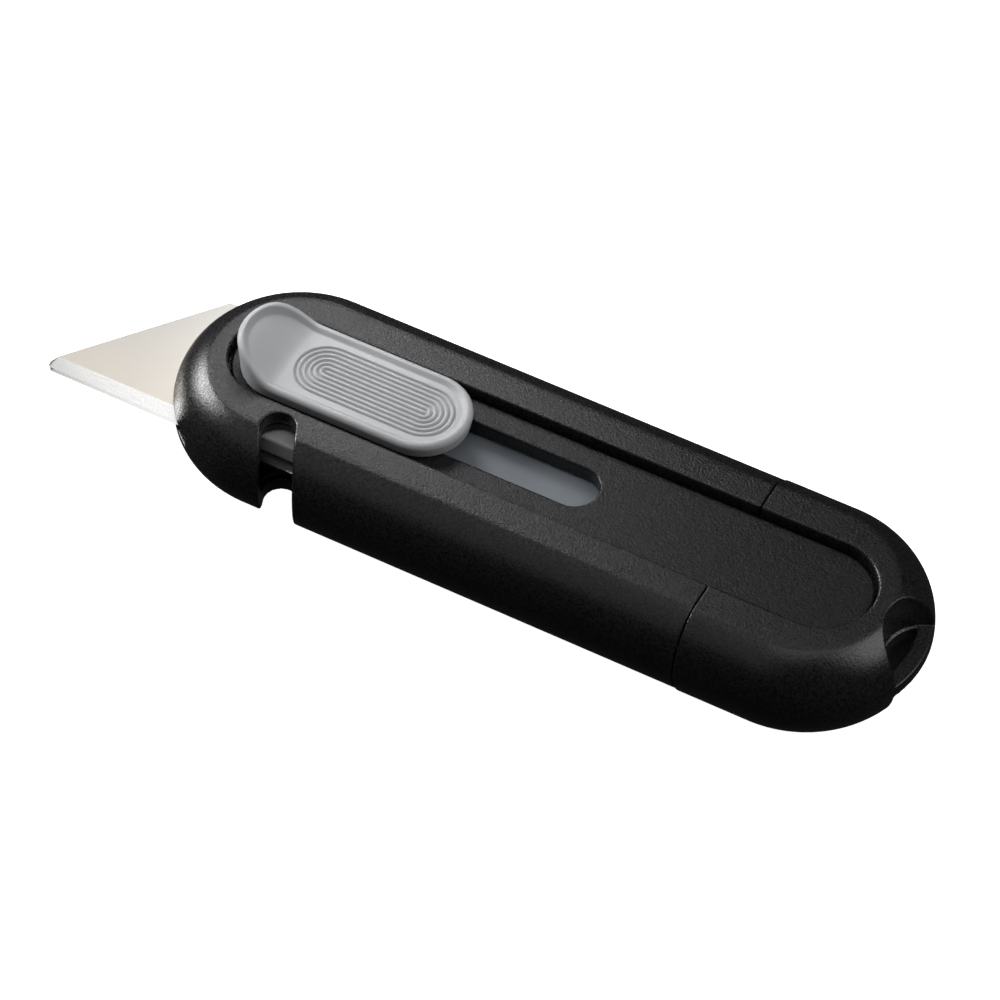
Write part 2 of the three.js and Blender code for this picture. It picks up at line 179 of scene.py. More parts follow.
def skin(name: str, form: Field, xs: Array, ys: Array, zs: Array) -> bpy.types.Object:
    """Makes the skin of a solid given by its field.

    Each cell of the lattice that the skin passes through gets one point, the mean of where the
    skin crosses its edges, and each crossed edge gets one face through the four cells round it.
    The points then slide down the gradient until they lie on the skin.

    Args:
        name: name of the piece.
        form: field of the solid.
        xs: lattice planes across X.
        ys: lattice planes across Y.
        zs: lattice planes across Z.

    Returns:
        The object, with normals taken from the field's gradient.
    """
    axes = (xs, ys, zs)
    lattice = np.stack(np.meshgrid(xs, ys, zs, indexing="ij"), axis=-1)
    values = form(lattice)
    cells = tuple(len(a) - 1 for a in axes)
    total = np.zeros(cells + (3,))
    count = np.zeros(cells)
    edges = []
    for axis in range(3):
        low = [slice(None)] * 3
        high = [slice(None)] * 3
        low[axis] = slice(None, -1)
        high[axis] = slice(1, None)
        start, end = values[tuple(low)], values[tuple(high)]
        crossed = (start < 0) != (end < 0)
        share = np.where(crossed, start / np.where(crossed, start - end, 1.0), 0.0)
        origin = lattice[tuple(low)]
        place = origin + share[..., None] * (lattice[tuple(high)] - origin)
        place *= crossed[..., None]
        others = [a for a in range(3) if a != axis]
        for first in (0, 1):
            for second in (0, 1):
                pick = [slice(None)] * 3
                pick[others[0]] = slice(first, cells[others[0]] + first)
                pick[others[1]] = slice(second, cells[others[1]] + second)
                total += place[tuple(pick)]
                count += crossed[tuple(pick)]
        edges.append((crossed, start < 0))
    used = count > 0
    number = np.full(cells, -1)
    number[used] = np.arange(int(used.sum()))
    points = total[used] / count[used][:, None]
    faces = []
    for axis, (crossed, outward) in enumerate(edges):
        second, third = (axis + 1) % 3, (axis + 2) % 3
        inner = [slice(None)] * 3
        inner[second] = slice(1, cells[second])
        inner[third] = slice(1, cells[third])
        where = np.argwhere(crossed[tuple(inner)])
        where[:, second] += 1
        where[:, third] += 1
        corners = []
        for back, down in ((1, 1), (0, 1), (0, 0), (1, 0)):
            cell = where.copy()
            cell[:, second] -= back
            cell[:, third] -= down
            corners.append(number[tuple(cell.T)])
        quads = np.stack(corners, axis=1)
        facing = outward[tuple(where.T)]
        faces.append(np.where(facing[:, None], quads, quads[:, ::-1]))
    longest = 0.5 * min(float(np.diff(a).min()) for a in axes)
    for _ in range(5):
        gradient = slope(form, points)
        steep = np.maximum((gradient ** 2).sum(axis=1), 0.05)
        move = gradient * (form(points) / steep)[:, None]
        length = np.maximum(np.linalg.norm(move, axis=1), 1e-9)
        points = points - move * np.minimum(1.0, longest / length)[:, None]
    gradient = slope(form, points)
    normals = gradient / np.maximum(np.linalg.norm(gradient, axis=1), 1e-9)[:, None]
    return mesh_object(name, points, np.concatenate(faces).tolist(), normals)


def planes(*stretches: tuple[float, float, float]) -> Array:
    """Lattice planes over stretches that follow each other.

    Args:
        stretches: start, end and spacing of each stretch.

    Returns:
        The places of the planes, each stretch evenly divided.
    """
    parts = []
    for start, end, spacing in stretches:
        steps = max(1, round((end - start) / spacing))
        parts.append(np.linspace(start, end, steps, endpoint=False))
    parts.append(np.array([stretches[-1][1]]))
    return np.concatenate(parts)


def ring_quads(rows: int, columns: int) -> tuple[Array, Array]:
    """Quads between rings of points that follow each other.

    Args:
        rows: number of rings.
        columns: points on each ring.

    Returns:
        The number of each point by ring and place, and the corners of each quad.
    """
    index = np.arange(rows * columns).reshape(rows, columns)
    after = np.roll(index, -1, axis=1)
    quads = np.stack([index[:-1], after[:-1], after[1:], index[1:]], axis=-1)
    return index, quads.reshape(-1, 4)


def ring_grid(name: str, rings: Array) -> bpy.types.Object:
    """Makes a closed skin from rings of points, the first and last shrunk to a line or a point.

    Args:
        name: name of the piece.
        rings: array of ring, point on the ring, and X, Y, Z.

    Returns:
        The object, with doubled points merged and faces turned outwards.
    """
    quads = ring_quads(*rings.shape[:2])[1]
    piece = mesh_object(name, rings.reshape(-1, 3), quads)
    weld(piece)
    return piece


def weld(piece: bpy.types.Object) -> None:
    """Merges doubled points, drops faces left without area and turns the rest outwards."""
    form = bmesh.new()
    form.from_mesh(piece.data)
    bmesh.ops.remove_doubles(form, verts=form.verts, dist=0.002 * MM)
    bmesh.ops.dissolve_degenerate(form, edges=form.edges, dist=0.001 * MM)
    bmesh.ops.recalc_face_normals(form, faces=form.faces)
    form.to_mesh(piece.data)
    form.free()
    piece.data.shade_smooth()


# ---- finishes ------------------------------------------------------------------------------
class Sheet:
    """A material under construction: its node tree and shortcuts to add to it."""

    def __init__(self, name: str) -> None:
        """Starts a material with one Principled shader."""
        self.material = bpy.data.materials.new(name)
        self.material.use_nodes = True
        self.tree = self.material.node_tree
        self.shader = self.tree.nodes["Principled BSDF"]
        self.place = self.node("ShaderNodeTexCoord").outputs["Object"]

    def node(self, kind: str, **values: object) -> bpy.types.Node:
        """Adds a node and sets its properties."""
        made = self.tree.nodes.new(kind)
        for key, value in values.items():
            setattr(made, key, value)
        return made

    def join(self, source: bpy.types.NodeSocket, target: bpy.types.NodeSocket) -> None:
        """Links an output to an input."""
        self.tree.links.new(source, target)

    def noise(self, size: float, detail: float = 2.0, rough: float = 0.5) -> bpy.types.NodeSocket:
        """Noise whose lumps are about size millimetres across.

        Args:
            size: width of a lump in millimetres.
            detail: octaves of finer noise.
            rough: strength of the finer octaves.

        Returns:
            The noise's value.
        """
        made = self.node("ShaderNodeTexNoise")
        made.inputs["Scale"].default_value = 1.0 / (size * MM)
        made.inputs["Detail"].default_value = detail
        made.inputs["Roughness"].default_value = rough
        self.join(self.place, made.inputs["Vector"])
        return made.outputs["Fac"]

    def grind(
        self, stretch: tuple[float, float, float], size: float, detail: float
    ) -> bpy.types.NodeSocket:
        """Noise squeezed along some axes, so that its lumps turn into lines.

        Args:
            stretch: how much it is squeezed along X, Y and Z.
            size: length of a line in millimetres.
            detail: octaves of finer noise.

        Returns:
            The noise's value.
        """
        pull = self.node("ShaderNodeMapping")
        pull.inputs["Scale"].default_value = stretch
        self.join(self.place, pull.inputs["Vector"])
        lines = self.node("ShaderNodeTexNoise")
        lines.inputs["Scale"].default_value = 1.0 / (size * MM)
        lines.inputs["Detail"].default_value = detail
        self.join(pull.outputs["Vector"], lines.inputs["Vector"])
        return lines.outputs["Fac"]

    def axis(self, vector: bpy.types.NodeSocket, name: str) -> bpy.types.NodeSocket:
        """Takes X, Y or Z out of a vector."""
        parts = self.node("ShaderNodeSeparateXYZ")
        self.join(vector, parts.inputs["Vector"])
        return parts.outputs[name]

    def maths(self, operation: str, *values: bpy.types.NodeSocket | float) -> bpy.types.NodeSocket:
        """Works on outputs and numbers, in the order given, with one Math node."""
        made = self.node("ShaderNodeMath", operation=operation)
        for socket, value in zip(made.inputs, values):
            if isinstance(value, float):
                socket.default_value = value
            else:
                self.join(value, socket)
        return made.outputs[0]

    def blend(
        self,
        share: bpy.types.NodeSocket,
        under: bpy.types.NodeSocket,
        over: bpy.types.NodeSocket | Colour,
    ) -> bpy.types.NodeSocket:
        """Blends two colours.

        Args:
            share: how much of the second colour shows.
            under: the first colour.
            over: the second colour.

        Returns:
            The blended colour.
        """
        made = self.node("ShaderNodeMix", data_type="RGBA")
        factor, first, second = (made.inputs[number] for number in MIX_SOCKETS)
        self.join(share, factor)
        self.join(under, first)
        if isinstance(over, tuple):
            second.default_value = (*over, 1.0)
        else:
            self.join(over, second)
        return made.outputs[MIX_RESULT]

    def spread(
        self,
        value: bpy.types.NodeSocket,
        low: float,
        high: float,
        start: float = 0.3,
        end: float = 0.7,
    ) -> bpy.types.NodeSocket:
        """Maps a value that runs from start to end onto low to high."""
        made = self.node("ShaderNodeMapRange")
        made.inputs["From Min"].default_value = start
        made.inputs["From Max"].default_value = end
        made.inputs["To Min"].default_value = low
        made.inputs["To Max"].default_value = high
        self.join(value, made.inputs["Value"])
        return made.outputs["Result"]

    def shade(
        self, value: bpy.types.NodeSocket, dark: Colour, light: Colour
    ) -> bpy.types.NodeSocket:
        """Runs from a dark to a light colour as a value goes from 0.3 to 0.7."""
        made = self.node("ShaderNodeValToRGB")
        made.color_ramp.elements[0].position = 0.3
        made.color_ramp.elements[0].color = (*dark, 1.0)
        made.color_ramp.elements[1].position = 0.7
        made.color_ramp.elements[1].color = (*light, 1.0)
        self.join(value, made.inputs["Fac"])
        return made.outputs["Color"]

    def bump(self, height: bpy.types.NodeSocket, depth: float) -> None:
        """Bends the shader's normal by a height.

        Args:
            height: the height, from 0 to 1.
            depth: what a height of 1 stands for, in millimetres.
        """
        made = self.node("ShaderNodeBump")
        made.inputs["Distance"].default_value = depth * MM
        made.inputs["Strength"].default_value = 1.0
        self.join(height, made.inputs["Height"])
        self.drive("Normal", made.outputs["Normal"])

    def drive(self, name: str, source: bpy.types.NodeSocket) -> None:
        """Links an output to the shader's socket of that name."""
        self.join(source, self.shader.inputs[name])

    def set(self, **values: float) -> None:
        """Sets shader sockets, named with _ for a space, to values that hold all over."""
        for key, value in values.items():
            self.shader.inputs[key.replace("_", " ")].default_value = value


@dataclass(frozen=True)
class ErodedPlastic:
    """Dark moulded plastic with the fine matt grain of a spark-eroded mould.

    The grain is full on faces that look straight up or down. On the flanks, where the normal's
    upright part is below level_low, the grain is shallower and the surface a little glossier.
    """

    name: str
    dark: Colour
    light: Colour
    grain: float = 0.25
    depth: float = 0.11
    roughness: tuple[float, float] = (0.27, 0.49)
    specular: float = 0.5
    flank_share: float = 0.3
    flank_gloss: float = 0.74
    level_low: float = 0.94
    level_high: float = 0.985

    def make(self) -> bpy.types.Material:
        """Builds the material: one noise for the grain, one for the shade, one for the gloss."""
        sheet = Sheet(self.name)
        grain = sheet.noise(self.grain, detail=3.0, rough=0.6)
        mottle = sheet.noise(self.grain * 1.3, detail=1.0, rough=0.5)
        cloud = sheet.noise(self.grain * 0.9, detail=1.0)
        sheet.drive("Base Color", sheet.shade(mottle, self.dark, self.light))
        normal = sheet.node("ShaderNodeNewGeometry").outputs["Normal"]
        level = sheet.maths("ABSOLUTE", sheet.axis(normal, "Z"))
        share = sheet.spread(level, self.flank_share, 1.0, self.level_low, self.level_high)
        gloss = sheet.spread(level, self.flank_gloss, 1.0, self.level_low, self.level_high)
        dull = sheet.spread(cloud, *self.roughness)
        sheet.drive("Roughness", sheet.maths("MULTIPLY", dull, gloss))
        sheet.bump(sheet.maths("MULTIPLY", grain, share), self.depth)
        sheet.set(Specular_IOR_Level=self.specular)
        return sheet.material


@dataclass(frozen=True)
class SmoothPlastic:
    """Moulded plastic with a satin surface, faint flow clouds and handling haze.

    With rails, the two sides beyond rail_y get a second colour, a paler plastic brightened further as painted
    light that stands in for light on their faces, and the two colours run into each other over twice rail_blend.
    """

    name: str
    dark: Colour
    light: Colour
    roughness: tuple[float, float] = (0.36, 0.46)
    peel: float = 0.004
    rails: tuple[Colour, Colour] | None = None
    rail_y: float = 4.0
    rail_blend: float = 0.05

    def with_rails(
        self, sheet: Sheet, cloud: bpy.types.NodeSocket, colour: bpy.types.NodeSocket
    ) -> bpy.types.NodeSocket:
        """Lays the rails' paler colour, partly painted light, over the colour.

        Args:
            sheet: the material being built.
            cloud: the noise that mottles it.
            colour: the colour between the rails.

        Returns:
            The colour with both sides in the rails' paler colour, partly painted light.
        """
        offset = sheet.maths("ABSOLUTE", sheet.axis(sheet.place, "Y"))
        near, far = (self.rail_y - self.rail_blend) * MM, (self.rail_y + self.rail_blend) * MM
        share = sheet.spread(offset, 0.0, 1.0, near, far)
        # paler plastic on both sides, brightened as painted light for the light falling on their faces
        return sheet.blend(share, colour, sheet.shade(cloud, *self.rails))

    def make(self) -> bpy.types.Material:
        """Builds the material: wide clouds in the shade, haze in the gloss, orange peel as bump."""
        sheet = Sheet(self.name)
        cloud = sheet.noise(6.0, detail=3.0)
        fine = sheet.noise(0.12, detail=2.0)
        colour = sheet.shade(cloud, self.dark, self.light)
        if self.rails is not None:
            colour = self.with_rails(sheet, cloud, colour)
        sheet.drive("Base Color", colour)
        haze = sheet.noise(2.4, detail=4.0, rough=0.6)
        sheet.drive("Roughness", sheet.spread(haze, *self.roughness))
        sheet.bump(fine, self.peel)
        sheet.set(Specular_IOR_Level=0.5)
        return sheet.material


@dataclass(frozen=True)
class GroundSteel:
    """Steel ground in one direction: fine scratches across the grind, faint clouds in its tint."""

    name: str
    dark: Colour
    light: Colour
    stretch: tuple[float, float, float] = (1.0, 14.0, 14.0)
    roughness: tuple[float, float] = (0.22, 0.36)
    scratch: float = 0.0025

    def make(self) -> bpy.types.Material:
        """Builds the material: lines along the grind drive gloss and bump, clouds the tint."""
        sheet = Sheet(self.name)
        lines = sheet.grind(self.stretch, 1.6, detail=4.0)
        tint = sheet.noise(9.0, detail=2.0)
        sheet.drive("Base Color", sheet.shade(tint, self.dark, self.light))
        sheet.drive("Roughness", sheet.spread(lines, *self.roughness))
        sheet.bump(lines, self.scratch)
        sheet.set(Metallic=1.0)
        return sheet.material


@dataclass(frozen=True)
class BladeSteel:
    """Satin blade steel, a little warmer towards the edge, with a paler and finer ground bevel.

    The tint runs from bevel_y to spine_y and wanders by tint_wander. The bevel begins at bevel_y
    over twice bevel_blend.
    """

    name: str
    cool: Colour = (0.272, 0.264, 0.252)
    warm: Colour = (0.318, 0.295, 0.266)
    ground: Colour = (0.40, 0.399, 0.393)
    bevel_y: float = -7.75
    spine_y: float = 9.0
    roughness: tuple[float, float] = (0.30, 0.36)
    bevel_roughness: float = -0.08
    bevel_blend: float = 0.05
    tint_wander: float = 2.0
    stretch: tuple[float, float, float] = (1.0, 30.0, 30.0)
    scratch: float = 0.0003

    def make(self) -> bpy.types.Material:
        """Builds the material: the tint and the bevel follow the width of the blade."""
        sheet = Sheet(self.name)
        width = sheet.axis(sheet.place, "Y")
        reach = self.tint_wander * MM
        wander = sheet.spread(sheet.noise(7.0, detail=3.0), -reach, reach)
        shifted = sheet.maths("ADD", width, wander)
        # the flat runs lighter and warmer towards the edge, its boundary wandering with the noise
        edge_share = sheet.spread(shifted, 0.7, 0.3, self.bevel_y * MM, self.spine_y * MM)
        tint = sheet.shade(edge_share, self.cool, self.warm)
        start, end = (self.bevel_y - self.bevel_blend) * MM, (self.bevel_y + self.bevel_blend) * MM
        bevel = sheet.spread(width, 1.0, 0.0, start, end)
        sheet.drive("Base Color", sheet.blend(bevel, tint, self.ground))
        lines = sheet.grind(self.stretch, 2.5, detail=3.0)
        gloss = sheet.spread(lines, *self.roughness)
        sheet.drive("Roughness", sheet.maths("MULTIPLY_ADD", bevel, self.bevel_roughness, gloss))
        sheet.bump(lines, self.scratch)
        sheet.set(Metallic=1.0)
        return sheet.material


class Finish(Enum):
    """The finishes of the knife's pieces."""

    SHELL = ErodedPlastic("shell", (0.003, 0.003, 0.0035), (0.018, 0.018, 0.019))
    PANEL = ErodedPlastic(
        "panel", (0.003, 0.003, 0.0035), (0.015, 0.015, 0.017), depth=0.115, specular=0.38
    )
    CARRIER = SmoothPlastic(
        "carrier",
        (0.155, 0.173, 0.192),
        (0.18, 0.20, 0.22),
        roughness=(0.56, 0.64),
        # rails: a paler plastic, brightened as painted light for the light on the holder's sides
        rails=((0.74, 0.745, 0.755), (0.80, 0.805, 0.815)),
    )
    JAW = SmoothPlastic("jaw", (0.10, 0.105, 0.11), (0.13, 0.135, 0.14), roughness=(0.5, 0.6))
    SLIDER = SmoothPlastic("slider", (0.385, 0.391, 0.405), (0.417, 0.423, 0.434), (0.44, 0.54))
    BLADE = BladeSteel("blade_steel")
    SPRING = GroundSteel("spring_steel", (0.50, 0.51, 0.53), (0.60, 0.61, 0.63))
    SCREW = GroundSteel(
        "screw_steel", (0.30, 0.31, 0.33), (0.40, 0.41, 0.43), (6.0, 6.0, 1.0), (0.3, 0.42)
    )
    MAGNET = GroundSteel("magnet", (0.58, 0.58, 0.60), (0.66, 0.66, 0.68), (1.0, 1.0, 1.0))


@dataclass
class Paintbox:
    """Makes each finish once and puts it on pieces."""

    made: dict[Finish, bpy.types.Material] = field(default_factory=dict)

    def dress(self, piece: bpy.types.Object, finish: Finish) -> None:
        """Puts a finish on a piece in place of whatever it wears."""
        if finish not in self.made:
            self.made[finish] = finish.value.make()
        piece.data.materials.clear()
        piece.data.materials.append(self.made[finish])


# ---- the handle ----------------------------------------------------------------------------
@dataclass
class HandleForm:
    """The rounded body that the shell, the cap and the chassis are all cut from."""

    end_x: float = 32.2
    flank_radius: float = 7.2
    flank_centre: float = 7.3
    crease: float = 0.24
    height: float = field(init=False)

    def __post_init__(self) -> None:
        """Takes the height from the sleeve's box."""
        low, high = span("front_sleeve")
        self.height = float(high[2] - low[2])

    @property
    def mid(self) -> float:
        """Height of the widest line."""
        return self.height / 2

    def solid(self, p: Array, inset: float, flat_inset: float, crease: float) -> Array:
        """Field of the body drawn in from all sides.

        A circle of flank_radius carried round the line between the end centres at flank_centre,
        filled inwards, and cut off by the two flat faces.

        Args:
            p: points.
            inset: how far the flank is drawn in.
            flat_inset: how far the flat faces are drawn in.
            crease: rounding between flank and flat.

        Returns:
            The field.
        """
        along = p[..., 0] - np.clip(p[..., 0], -self.end_x, self.end_x)
        out = np.hypot(along, p[..., 1])
        rise = p[..., 2] - self.mid
        flank = np.hypot(np.maximum(out - self.flank_centre, 0.0), rise)
        flank = flank - (self.flank_radius - inset)
        return soft_max(flank, np.abs(rise) - (self.mid - flat_inset), crease)

    def half_width(self, inset: float) -> float:
        """Half-width at mid-height, drawn in by inset."""
        return self.flank_centre + self.flank_radius - inset


@dataclass
class ShellSizes:
    """Sizes that the sleeve, the cap and the chassis share."""

    wall: float = 2.0
    flat_wall: float = 1.8
    gap: float = 0.3
    window_x0: float = -34.2
    window_x1: float = 34.0
    window_radius: float = 6.3
    fine: float = 0.25
    coarse: float = 1.0
    notch_x: float = -29.4
    notch_y: float = -9.4
    notch_radius: float = 2.0
    notch_lean: float = math.radians(25)

    def window(self, p: Array, grow: float = 0.0) -> Array:
        """Field of the long opening in the top."""
        return stadium(p, self.window_x0, self.window_x1, self.window_radius + grow)

    def notch(self, p: Array, grow: float = 0.0) -> Array:
        """Field of the string notch: a slot with one round end, leaning to the rear."""
        dx = p[..., 0] - self.notch_x
        dy = p[..., 1] - self.notch_y
        across = math.cos(self.notch_lean) * dx + math.sin(self.notch_lean) * dy
        inwards = math.cos(self.notch_lean) * dy - math.sin(self.notch_lean) * dx
        return np.hypot(across, np.maximum(inwards, 0.0)) - (self.notch_radius + grow)


@dataclass
class FrontSleeve:
    """The long front shell with its window, blade slit, string notch and screw seats."""

    form: HandleForm
    sizes: ShellSizes
    slit_low: float = -11.8
    slit_high: float = 10.4
    slit_half: float = 0.8
    slit_depth_x: float = -34.0
    seat_radius: float = 1.9
    seat_depth: float = 1.25
    hole_radius: float = 1.2
    notch_reach: float = 7.0
    front_seats: tuple[float, float] = (-21.0, -15.0)
    rear_seats: tuple[float, float] = (12.0, 18.0)

    def field(self, p: Array) -> Array:
        """Body cut off at the seam, hollowed, then cut by each opening with rounded edges."""
        x, y, z = p[..., 0], p[..., 1], p[..., 2]
        sizes = self.sizes
        seam = span("front_sleeve")[1][0]
        solid = self.form.solid(p, 0.0, 0.0, self.form.crease)
        solid = soft_max(solid, x - seam, 0.12)
        solid = soft_max(solid, -self.form.solid(p, sizes.wall, sizes.flat_wall, 0.3), 0.2)
        window = np.maximum(sizes.window(p), self.form.mid - z)
        solid = soft_max(solid, -window, 0.28)
        solid = soft_max(solid, -sizes.notch(p), 0.25)
        slit = np.maximum(between(y, self.slit_low, self.slit_high), x - self.slit_depth_x)
        slit = np.maximum(slit, np.abs(z - self.form.mid) - self.slit_half)
        solid = soft_max(solid, -slit, 0.35)
        for number in range(1, 5):
            place = centre_of(f"sleeve_screw_{number}")
            seat = np.maximum(upright(p, place[0], place[1], self.seat_radius), z - self.seat_depth)
            hole = np.maximum(upright(p, place[0], place[1], self.hole_radius), z - self.form.mid)
            solid = soft_max(solid, -np.minimum(seat, hole), 0.25)
        return solid

    def build(self, paint: Paintbox) -> bpy.types.Object:
        """Makes the sleeve, with a fine lattice round the notch and the screws, on the handle."""
        low, high = span("front_sleeve")
        sizes = self.sizes
        notch_end = sizes.notch_x + self.notch_reach
        xs = planes(
            (low[0] - 0.5, notch_end, sizes.fine),
            (notch_end, self.front_seats[0], sizes.fine),
            (*self.front_seats, sizes.fine),
            (self.front_seats[1], self.rear_seats[0], sizes.coarse),
            (*self.rear_seats, sizes.fine),
            (self.rear_seats[1], high[0] - 1.0, sizes.coarse),
            (high[0] - 1.0, high[0] + 0.5, 0.15),
        )
        ys = planes((low[1] - 0.6, high[1] + 0.6, sizes.fine))
        zs = planes((low[2] - 0.5, high[2] + 0.5, sizes.fine))
        piece = skin("sleeve_skin", self.field, xs, ys, zs)
        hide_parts("front_sleeve")
        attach(piece, "handle")
        paint.dress(piece, Finish.SHELL)
        return piece


@dataclass
class RearCap:
    """The pull-off cap: it stands a hair proud and carries the lanyard eye and two tongues."""

    form: HandleForm
    sizes: ShellSizes
    proud: float = 0.12
    eye_x: float = 47.4
    eye_radius: float = 5.2
    seam_gap: float = 0.15
    eye_ledge: float = 0.35
    eye_half_width: float = 4.7
    bar_half: float = 0.85
    bar_width: float = 1.85
    tongue_inner: float = 9.2
    tongue_outer: float = 10.0
    tongue_half: float = 2.2
    tongue_start: float = 1.2

    def eye(self, p: Array) -> Array:
        """Scoops from above and below with a crescent hole through the bar between them."""
        rise = np.abs(p[..., 2] - self.form.mid)
        scoop = soft_max(upright(p, self.eye_x, 0.0, self.eye_radius), self.bar_half - rise, 0.15)
        inside = upright(p, self.form.end_x, 0.0, self.form.half_width(self.bar_width))
        throat = upright(p, self.eye_x, 0.0, self.eye_radius - self.eye_ledge)
        hole = soft_max(inside, throat, 0.4)
        hole = soft_max(hole, np.abs(p[..., 1]) - self.eye_half_width, 0.3)
        return -soft_max(-scoop, -hole, 0.25)

    def field(self, p: Array) -> Array:
        """Body beyond the seam, hollowed for the chassis, with its openings and tongues."""
        x, y, z = p[..., 0], p[..., 1], p[..., 2]
        sizes = self.sizes
        start = span("front_sleeve")[1][0] + self.seam_gap
        chassis_end = span("upper_track")[1][0]
        solid = self.form.solid(p, -self.proud, 0.0, self.form.crease)
        solid = soft_max(solid, start - x, 0.2)
        hollow = self.form.solid(p, sizes.wall, sizes.flat_wall, 0.3)
        hollow = np.maximum(hollow, x - (chassis_end + sizes.gap))
        solid = soft_max(solid, -hollow, 0.2)
        window = np.maximum(sizes.window(p), self.form.mid - z)
        solid = soft_max(solid, -window, 0.28)
        solid = soft_max(solid, -self.eye(p), 0.2)
        tongue = between(np.abs(y), self.tongue_inner, self.tongue_outer)
        tongue = soft_max(tongue, np.abs(z - self.form.mid) - self.tongue_half, 0.2)
        front = span("front_sleeve")[1][0] + self.tongue_start
        tongue = soft_max(tongue, between(x, front, chassis_end + 1.0), 0.2)
        return np.minimum(solid, tongue)

    def build(self, paint: Paintbox) -> bpy.types.Object:
        """Makes the cap and sets it on its own body."""
        low, high = span("rear_cap")
        fine = self.sizes.fine
        xs = planes((low[0] - 0.45, low[0] + 1.2, 0.15), (low[0] + 1.2, high[0] + 0.5, fine))
        ys = planes((low[1] - 0.6, high[1] + 0.6, fine))
        zs = planes((low[2] - 0.5, high[2] + 0.5, fine))
        piece = skin("cap_skin", self.field, xs, ys, zs)
        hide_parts("rear_cap")
        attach(piece, "cap")
        paint.dress(piece, Finish.SHELL)
        return piece


@dataclass
class Chassis:
    """The two inner halves: the track with the recessed panel, and the tray under it."""

    form: HandleForm
    sizes: ShellSizes
    channel_half: float = 10.3
    channel_low: float = 3.3
    channel_high: float = 10.1
    block_x: float = 34.0
    block_half: float = 8.0
    slot_x0: float = -28.0
    slot_x1: float = 3.35
    slot_radius: float = 2.9
    hole_radius: float = 1.2
    panel_floor: float = 0.8
    stop_half: float = 1.2
    stop_width: float = 1.8
    stop_depth: float = 0.5
    rib_y: float = 5.5
    rib_half: float = 0.5
    rib_low: float = 2.6
    rib_x0: float = -34.0
    sleeve_hole_top: float = 4.0
    seat_radius: float = 1.9
    seat_top: float = 3.5

    def shell(self, p: Array) -> Array:
        """Body drawn in to clear the outer shell, with the blade channel cut through it."""
        sizes = self.sizes
        inset = sizes.wall + sizes.gap
        body = self.form.solid(p, inset, sizes.flat_wall + sizes.gap, 0.3)
        body = np.maximum(body, p[..., 0] - span("upper_track")[1][0])
        channel = np.maximum(
            np.abs(p[..., 1]) - self.channel_half,
            between(p[..., 2], self.channel_low, self.channel_high),
        )
        block = np.maximum(self.block_x - p[..., 0], np.abs(p[..., 1]) - self.block_half)
        return soft_max(body, -np.maximum(channel, -block), 0.2)

    def screw_holes(self, p: Array) -> Array:
        """Holes of the two rear screws."""
        holes = [
            upright(p, *centre_of(f"chassis_screw_{number}")[:2], self.hole_radius)
            for number in (1, 2)
        ]
        return np.maximum(np.minimum(*holes), p[..., 2] - self.channel_high)

    def track(self, p: Array) -> Array:
        """Upper half with the raised panel, the slider's slot and the spring's three stops."""
        x, y, z = p[..., 0], p[..., 1], p[..., 2]
        sizes = self.sizes
        top = span("upper_track")[1][2]
        solid = np.maximum(self.shell(p), self.form.mid + sizes.gap / 2 - z)
        panel = sizes.window(p, -sizes.gap)
        panel = soft_max(panel, between(z, self.channel_high + self.panel_floor, top), 0.35)
        solid = np.minimum(solid, panel)
        slot = stadium(p, self.slot_x0, self.slot_x1, self.slot_radius)
        solid = soft_max(solid, -slot, 0.3)
        solid = soft_max(solid, -sizes.notch(p, sizes.gap), 0.2)
        travel = frame["joints"][0]["range_m"][1] / MM
        rest = centre_of("detent_spring")
        for stop in (0.0, travel / 2, travel):
            groove = np.abs(x - rest[0] - stop) - self.stop_half
            groove = np.maximum(groove, np.abs(y - rest[1]) - self.stop_width)
            groove = np.maximum(groove, z - (self.channel_high + self.stop_depth))
            solid = np.maximum(solid, -groove)
        return np.maximum(solid, -self.screw_holes(p))

    def tray(self, p: Array) -> Array:
        """Lower half with its two runner ribs and the screw holes."""
        y, z = p[..., 1], p[..., 2]
        sizes = self.sizes
        solid = np.maximum(self.shell(p), z - (self.form.mid - sizes.gap / 2))
        rib = np.abs(np.abs(y) - self.rib_y) - self.rib_half
        rib = np.maximum(rib, between(z, self.rib_low, self.channel_low + sizes.gap))
        rib = np.maximum(rib, between(p[..., 0], self.rib_x0, self.block_x))
        solid = np.minimum(solid, rib)
        solid = soft_max(solid, -sizes.notch(p, sizes.gap), 0.2)
        for number in range(1, 5):
            place = centre_of(f"sleeve_screw_{number}")
            hole = upright(p, place[0], place[1], self.hole_radius)
            hole = np.maximum(hole, z - self.sleeve_hole_top)
            solid = np.maximum(solid, -hole)
        for number in (1, 2):
            place = centre_of(f"chassis_screw_{number}")
            seat = upright(p, place[0], place[1], self.seat_radius)
            seat = np.maximum(seat, z - self.seat_top)
            solid = np.maximum(solid, -seat)
        return np.maximum(solid, -self.screw_holes(p))

    def build(self, paint: Paintbox) -> list[bpy.types.Object]:
        """Makes both halves and sets them on the handle."""
        fine = self.sizes.fine
        low, high = span("upper_track")
        xs = planes(
            (low[0] - 0.5, -24.0, fine),
            (-24.0, -0.5, self.sizes.coarse),
            (-0.5, 7.0, fine),
            (7.0, 33.0, self.sizes.coarse),
            (33.0, high[0] + 0.5, fine),
        )
        ys = planes((low[1] - 0.5, high[1] + 0.5, fine))
        pieces = []
        for name, node, form in (
            ("track_skin", "upper_track", self.track),
            ("tray_skin", "lower_tray", self.tray),
        ):
            low, high = span(node)
            zs = planes((low[2] - 0.5, high[2] + 0.5, fine))
            piece = skin(name, form, xs, ys, zs)
            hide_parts(node)
            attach(piece, "handle")
            paint.dress(piece, Finish.PANEL)
            pieces.append(piece)
        return pieces


